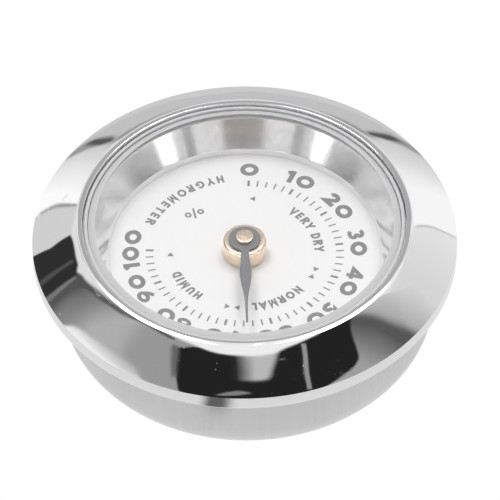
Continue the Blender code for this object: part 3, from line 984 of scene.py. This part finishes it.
def build_words():
    """Scale title, unit sign, comfort zones and the arrowheads at the zones' ends."""
    layer = Print()
    add_word(layer, "HYGROMETER", 266.9, 12.25 * MM, 1.15 * MM, 0.22, 0.355, inward=True)
    add_word(layer, "%", 270.5, 8.75 * MM, 1.4 * MM, 0.16, 0.0, inward=True)
    zone_radius, zone_height = 8.75 * MM, 1.14 * MM
    add_word(layer, "VERY DRY", 163.45, 8.8 * MM, zone_height, 0.235, 0.25)
    add_word(layer, "NORMAL", 74.7, 8.65 * MM, zone_height, 0.235, 0.27)
    add_word(layer, "HUMID", -5.6, 8.7 * MM, zone_height, 0.235, 0.29)

    arrow_length, arrow_half = 0.62 * MM, 0.39 * MM
    for start, end in ((0, 40.6), (40.6, 69.4), (69.4, 100)):
        for value, way in ((start + 0.6, 1.0), (end - 0.6, -1.0)):
            triangle = [(0.0, 0.0), (way * arrow_length, -arrow_half), (way * arrow_length, arrow_half)]
            layer.add([triangle], ("arrow", way), on_arc(percent_angle(value), zone_radius, 1.0))
    layer.build("print_words")


# ---------------------------------------------------------------- inner pieces


def build_coil():
    """Fine version of the humidity strip; it twists between its anchor and its collet."""
    low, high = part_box("humidity_coil")
    half_width, half_thickness = 0.4 * MM, 0.09 * MM
    coil_radius = high[0] - 0.125 * MM
    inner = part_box("coil_collet")[1][0] + 0.2 * MM
    turns, run_in, per_turn = 2.5, 0.75, 72
    bottom, top = low[2] + half_width, high[2] - half_width
    bm = bmesh.new()
    sections = []
    for i in range(round((turns + run_in) * per_turn) + 1):
        turn = i / per_turn
        climb = min(turn / turns, 1.0)
        t = max(turn - turns, 0.0) / run_in
        radius = lerp(coil_radius, inner, t * t * (3.0 - 2.0 * t))
        z = lerp(bottom, top, climb)
        a = 2.0 * math.pi * turn
        ring = []
        for across, up in ((-1, -1), (1, -1), (1, 1), (-1, 1)):
            r = radius + across * half_thickness
            ring.append(bm.verts.new((r * math.cos(a), r * math.sin(a), z + up * half_width)))
        sections.append(ring)
    for ring, after in zip(sections, sections[1:]):
        for j in range(4):
            k = (j + 1) % 4
            bm.faces.new((ring[j], ring[k], after[k], after[j]))
    bm.faces.new(sections[0])
    bm.faces.new(sections[-1])
    bmesh.ops.recalc_face_normals(bm, faces=bm.faces)
    mesh = bpy.data.meshes.new("coil_strip")
    bm.to_mesh(mesh)
    bm.free()
    coil = new_object("coil_strip", shaded(mesh), STRIP)
    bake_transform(coil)
    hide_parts("humidity_coil")


def dress_inner_nodes():
    """Finishes for the CAD pieces that keep their own shape."""
    finishes = {
        BRASS: (
            "movement_plate",
            "bridge",
            "pillar_left",
            "pillar_right",
            "bush_nut",
            "adjuster",
            "calibration_arm",
            "arm_collar",
            "anchor_post",
            "coil_collet",
        ),
        STEEL: ("dial_ring", "bridge_screw_left", "bridge_screw_right", "wave_washer", "arbor"),
    }
    for material, nodes in finishes.items():
        for node in nodes:
            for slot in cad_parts[node].material_slots:
                slot.material = material


# ---------------------------------------------------------------- studio and camera


def view_axes():
    """Right and away directions of the main view, level with the floor."""
    a = math.radians(VIEW_AZIMUTH)
    right = Vector((math.cos(a), math.sin(a), 0.0))
    away = Vector((-math.sin(a), math.cos(a), 0.0))
    return right, away


# The light tent as the chrome shows it: convex panels painted in turn, each (tone, edge softness, corners).
# Corners are in degrees from the zenith, (right, away). A tone is a displayed grey, 0 to 1, or a gradient:
# (first grey, last grey, where the first is, where the last is).
OPEN_TONE = 0.88
FAR_WALL = (
    (0.75, 3.0, ((-30, 80), (30, 80), (75, 150), (-75, 150))),
)
UPPER_SIDES = (
    (
        (0.80, 0.985, (-30, 82), (-47, 72)),
        2.0,
        ((-90, 92), (-39, 54), (-26, 72), (-29, 85), (-50, 108), (-90, 120)),
    ),
    ((0.79, 0.96, (28, 82), (42, 64)), 2.0, ((40, 46), (90, 70), (90, 120), (50, 108), (28, 85), (24, 80))),
)
FAR_SEAMS = (
    (0.60, 4.0, ((-42, 97), (-37, 90), (-31, 86), (-31, 98))),
    (0.60, 4.0, ((42, 98), (37, 91), (31, 86), (30, 98))),
    (0.34, 3.0, ((-34, 95), (-32, 86), (-27.5, 82), (-27, 86), (-30.5, 95))),
    (0.34, 3.0, ((34.5, 95), (32, 87), (27, 82), (25.5, 84), (28.5, 89), (30.5, 95))),
)
LEFT_WALL = (
    (0.81, 1.5, ((-90, 30), (-43, 30), (-39, 54.5), (-53, 67.2), (-90, 92))),
    (0.60, 1.3, ((-54, 67.6), (-46.5, 59.8), (-39, 54.6), (-38.5, 55.6), (-46, 61.2), (-53.5, 68.8))),
    (
        (0.33, 0.68, (-50, 22), (-48, 4)),
        1.2,
        ((-90, -40), (-20, -40), (-19, -4), (-30, 12), (-45, 28), (-90, 24)),
    ),
    (0.595, 9.0, ((-41, -60), (-10, -60), (-10, 4), (-29, 5), (-41, -10))),
    ((0.62, 0.93, (-41, -9), (-47, -12)), 2.0, ((-90, -40), (-36, -40), (-38, -14), (-56, 10), (-90, 20))),
    (0.18, 1.4, ((-90, 22), (-46, 26.4), (-42.4, 31), (-42.0, 38), (-43.5, 43.2), (-56, 44.5), (-90, 45))),
    (0.18, 1.4, ((-90, 40), (-53, 43.8), (-61, 48.8), (-90, 66))),
    (0.31, 1.8, ((-90, 31), (-45, 32.0), (-45, 34), (-90, 34.6))),
    (0.47, 1.0, ((-90, 21.6), (-60, 23.4), (-46, 25.8), (-46, 26.6), (-90, 24.6))),
)
RIGHT_WALL = (
    ((0.885, 0.835, (45, 50), (45, 24)), 1.2, ((36, -4), (90, 0), (90, 66), (42, 45.5))),
    (0.74, 1.0, ((42, 45.6), (60, 54.4), (60, 55.2), (42, 46.6))),
    ((0.835, 0.63, (46, 21), (44, 4)), 1.0, ((32, -40), (90, -40), (90, 14), (50, 22), (34, 14), (28, 2))),
    ((0.34, 0.62, (42, 0), (38, -17)), 6.0, ((26, -60), (90, -60), (90, -1), (50, -1), (36, 6.5), (26, 7))),
)
NEAR_OPENINGS = (
    (0.13, 1.4, ((-23.8, -26), (-22, -60), (10, -60), (10, -8), (-14, -8), (-20.2, -9), (-22.9, -20))),
    (0.13, 1.4, ((9, -60), (25, -34), (33, -21.6), (36, -17.5), (36.4, -14), (33.5, -8), (9, -8))),
    (0.13, 1.4, ((9, -9), (33.9, -9), (28.5, 0.5), (28.8, 5), (26, 7), (9, -8))),
    (0.39, 2.4, ((-25, -24), (-23.2, -24), (-19.3, -9), (-19.8, -7), (-21.8, -8), (-23.0, -16))),
    (
        (0.16, 0.72, (-4, -20), (3.5, -20)),
        3.0,
        ((-5, -25), (-1, -26.4), (5, -26.8), (8.2, -25), (8.7, -8), (-5, -8)),
    ),
    (0.57, 0.8, ((21.6, -30), (23.4, -30), (16.9, -7), (15.1, -7))),
    (
        0.50,
        1.1,
        ((-12.0, -32.8), (-8, -32.0), (-3.5, -31.7), (-0.5, -32.3), (2.0, -33.2), (-2, -34.4), (-8, -34.2)),
    ),
)
OVERHEAD = (
    (0.32, 1.6, ((-46, 24), (-36.8, 11.6), (-25.0, 0), (-20.0, -5), (-19, -4), (-40, 26), (-45.5, 26))),
    (
        0.60,
        3.0,
        ((-29, 80), (29, 80), (26, 83.6), (20, 87.5), (10, 91), (0, 92), (-10, 91), (-20, 87.5), (-27, 83.6)),
    ),
    (
        (0.87, 0.93, (-38, 24), (-14, -6)),
        2.0,
        ((-42.2, 46), (-42.2, 28), (-43.0, 25), (-33.6, 11.8), (-22.4, 0.6), (-18.4, -3.4), (-12.2, -9.6))
        + ((-7, -11.8), (7.5, -11.6), (11.5, -8.2), (17.5, -4.2), (21, -1), (30, 7), (38, 20), (40, 46))
        + ((28, 76), (0, 88), (-27, 78), (-38, 58)),
    ),
)
PANELS = FAR_WALL + UPPER_SIDES + FAR_SEAMS + LEFT_WALL + RIGHT_WALL + NEAR_OPENINGS + OVERHEAD


def low_near(start, end):
    """Corners of a low stretch of the near side, between two azimuths in degrees from the view's line."""
    corners = []
    for tilt, azimuth in ((66, start), (66, end), (97, end), (97, start)):
        a = math.radians(azimuth)
        corners.append((tilt * math.sin(a), -tilt * math.cos(a)))
    return tuple(corners)


# Lights that the bezel doesn't mirror in the main view: brightness, edge softness, corners. They show in
# the cup and the glass, and light the dial. Both sides are alike, so only the right-hand one is listed.
HIDDEN_LIGHTS = (
    (0.42, 6.0, ((-9, 34), (20, 34), (22, 46), (14, 60), (-9, 60))),
    (0.90, 4.0, ((25, 32), (19, 30), (17, 44), (24, 46))),
    (0.40, 3.0, ((32, 34), (27, 30), (25, 38), (31, 44))),
    (6.90, 4.0, ((27, 13), (20, 4), (7, 0), (5, 32), (18, 31), (26, 25))),
    (1.00, 6.0, ((-9, -40), (90, -40), (90, -120), (-9, -120))),
    (0.16, 7.0, low_near(-14, 14)),
    (0.03, 4.0, low_near(34, 41)),
    (0.70, 3.0, low_near(41, 46)),
    (0.90, 6.0, ((76, -5), (66, 46), (84, 58), (100, -5))),
    (0.95, 6.0, low_near(62, 92)),
    (4.20, 7.0, low_near(49, 60)),
)
# The floor is lit brightest close to the instrument: (near, far) brightness, at (near, far) radius.
FLOOR_LIGHT = (0.88, 0.62)
FLOOR_REACH = (20.0 * MM, 47.0 * MM)
FLOOR_RADIUS = 75.0 * MM
# The table top lies this far under the can.
FLOOR_GAP = 0.2 * MM
# Darker patches painted into the floor's glow, in mm (right, away): brightness, edge softness, corners. This
# painted shade shows only as dark smudges mirrored in the plating; the camera still sees the floor white.
FLOOR_SHADES = (
    (0.12, 4.5, ((-10.6, -39.5), (-4.0, -39.5), (-3.2, -33.0), (-5.0, -29.0), (-8.6, -29.0), (-9.6, -33.0))),
)
CHROME_TONE = 0.93


def shown(tone):
    """The brightness a mirrored surface needs to be displayed as this grey."""
    linear = ((tone + 0.055) / 1.055) ** 2.4
    return linear / CHROME_TONE


def panel_mask(n, u, v, corners, soft):
    """1 inside the convex outline of the corners, falling to 0 over the softness at its edges."""
    outline = [corners[i] for i in convex_hull_2d([Vector(c) for c in corners])]
    mask = None
    for (ax, ay), (bx, by) in zip(outline, outline[1:] + outline[:1]):
        length = math.hypot(bx - ax, by - ay)
        nx, ny = -(by - ay) / length, (bx - ax) / length
        edge = ax * nx + ay * ny
        inside = n.ramp(n.weigh(u, nx, v, ny), edge - soft / 2.0, edge + soft / 2.0)
        mask = inside if mask is None else n.math("MULTIPLY", mask, inside)
    return mask


def panel_light(n, u, v, tone):
    """One brightness, or a gradient between two from one point to another."""
    if not isinstance(tone, tuple):
        return shown(tone)
    first, last, (ax, ay), (bx, by) = tone
    dx, dy = bx - ax, by - ay
    start = ax * dx + ay * dy
    end = start + dx * dx + dy * dy
    return n.ramp(n.weigh(u, dx, v, dy), start, end, shown(first), shown(last), smooth=False)


def build_world():
    """White to the camera; to everything else a light tent with its panels, gaps and dark openings."""
    world = bpy.data.worlds.new("studio")
    bpy.context.scene.world = world
    world.use_nodes = True
    tree = world.node_tree
    n = Nodes(tree)
    direction = n.add("ShaderNodeTexCoord").outputs["Generated"]
    right, away = view_axes()
    x, y, z = (n.dot(direction, axis) for axis in (right, away, Vector((0.0, 0.0, 1.0))))
    flat = n.math("MAXIMUM", n.math("SQRT", n.weigh(x, x, y, y)), 1e-4)
    tilt = n.math("MULTIPLY", n.math("ARCTAN2", flat, z), 180.0 / math.pi)
    u = n.math("MULTIPLY", tilt, n.math("DIVIDE", x, flat))
    v = n.math("MULTIPLY", tilt, n.math("DIVIDE", y, flat))
    light = shown(OPEN_TONE)
    for tone, soft, corners in PANELS:
        light = n.mix(panel_mask(n, u, v, corners, soft), light, panel_light(n, u, v, tone))
    aside = n.math("ABSOLUTE", u)
    for brightness, soft, corners in HIDDEN_LIGHTS:
        light = n.mix(panel_mask(n, aside, v, corners, soft), light, brightness)

    background = tree.nodes["Background"]
    seen = n.add("ShaderNodeLightPath").outputs["Is Camera Ray"]
    strength = n.mix(seen, light, 1.0)
    background.inputs["Color"].default_value = (1.0, 1.0, 1.0, 1.0)
    n.link(strength, background.inputs["Strength"])


def build_floor():
    """Table top, white to the camera and pale to the plating; it is clear when seen from below."""
    material, n = unshaded("floor")
    glow = n.add("ShaderNodeEmission")
    seen = n.add("ShaderNodeLightPath").outputs["Is Camera Ray"]
    split = n.add("ShaderNodeSeparateXYZ")
    n.link(n.polar(1, 1, 1), split.inputs[0])
    light = n.ramp(split.outputs[0], *FLOOR_REACH, *FLOOR_LIGHT, smooth=False)
    place = n.stretched(1.0 / MM)
    u, v = (n.dot(place, axis) for axis in view_axes())
    # Painted shade: darker patches in the floor's glow, which the plating mirrors as dark smudges.
    for brightness, soft, corners in FLOOR_SHADES:
        light = n.mix(panel_mask(n, u, v, corners, soft), light, brightness)
    n.link(n.mix(seen, light, 1.0), glow.inputs["Strength"])
    clear = n.add("ShaderNodeBsdfTransparent")
    n.finish(n.add("ShaderNodeNewGeometry").outputs["Backfacing"], glow, clear)
    bpy.ops.mesh.primitive_circle_add(vertices=SMALL, radius=FLOOR_RADIUS, fill_type="NGON")
    floor = bpy.context.object
    floor.location.z = -FLOOR_GAP
    floor.name = "floor"
    floor.data.materials.append(material)


def build_camera():
    camera = bpy.data.objects.new("camera", bpy.data.cameras.new("camera"))
    bpy.context.scene.collection.objects.link(camera)
    camera.data.lens = VIEW_FOCAL
    camera.data.sensor_width = 36.0
    camera.data.clip_start = 0.01
    camera.data.clip_end = 10.0
    right, away = view_axes()
    tilt, roll = math.radians(VIEW_ELEVATION), math.radians(VIEW_ROLL)
    forward = away * math.cos(tilt) - Vector((0, 0, 1)) * math.sin(tilt)
    level_up = away * math.sin(tilt) + Vector((0, 0, 1)) * math.cos(tilt)
    across = right * math.cos(roll) - level_up * math.sin(roll)
    up = right * math.sin(roll) + level_up * math.cos(roll)
    rim_centre = Vector((0.0, 0.0, heights("rear_case")[1] + LIP_HEIGHT))
    place = rim_centre - forward * VIEW_DISTANCE + across * VIEW_AIM[0] + up * VIEW_AIM[1]
    matrix = Matrix((across, up, -forward)).transposed().to_4x4()
    matrix.translation = place
    camera.matrix_world = matrix
    bpy.context.scene.camera = camera
    bpy.context.scene.view_settings.view_transform = "Standard"


build_camera()
build_bezel()
build_window()
build_cup()
build_dial()
build_case()
build_boss()
build_pointer()
build_ticks()
build_numerals()
build_words()
build_coil()
dress_inner_nodes()
build_world()
build_floor()
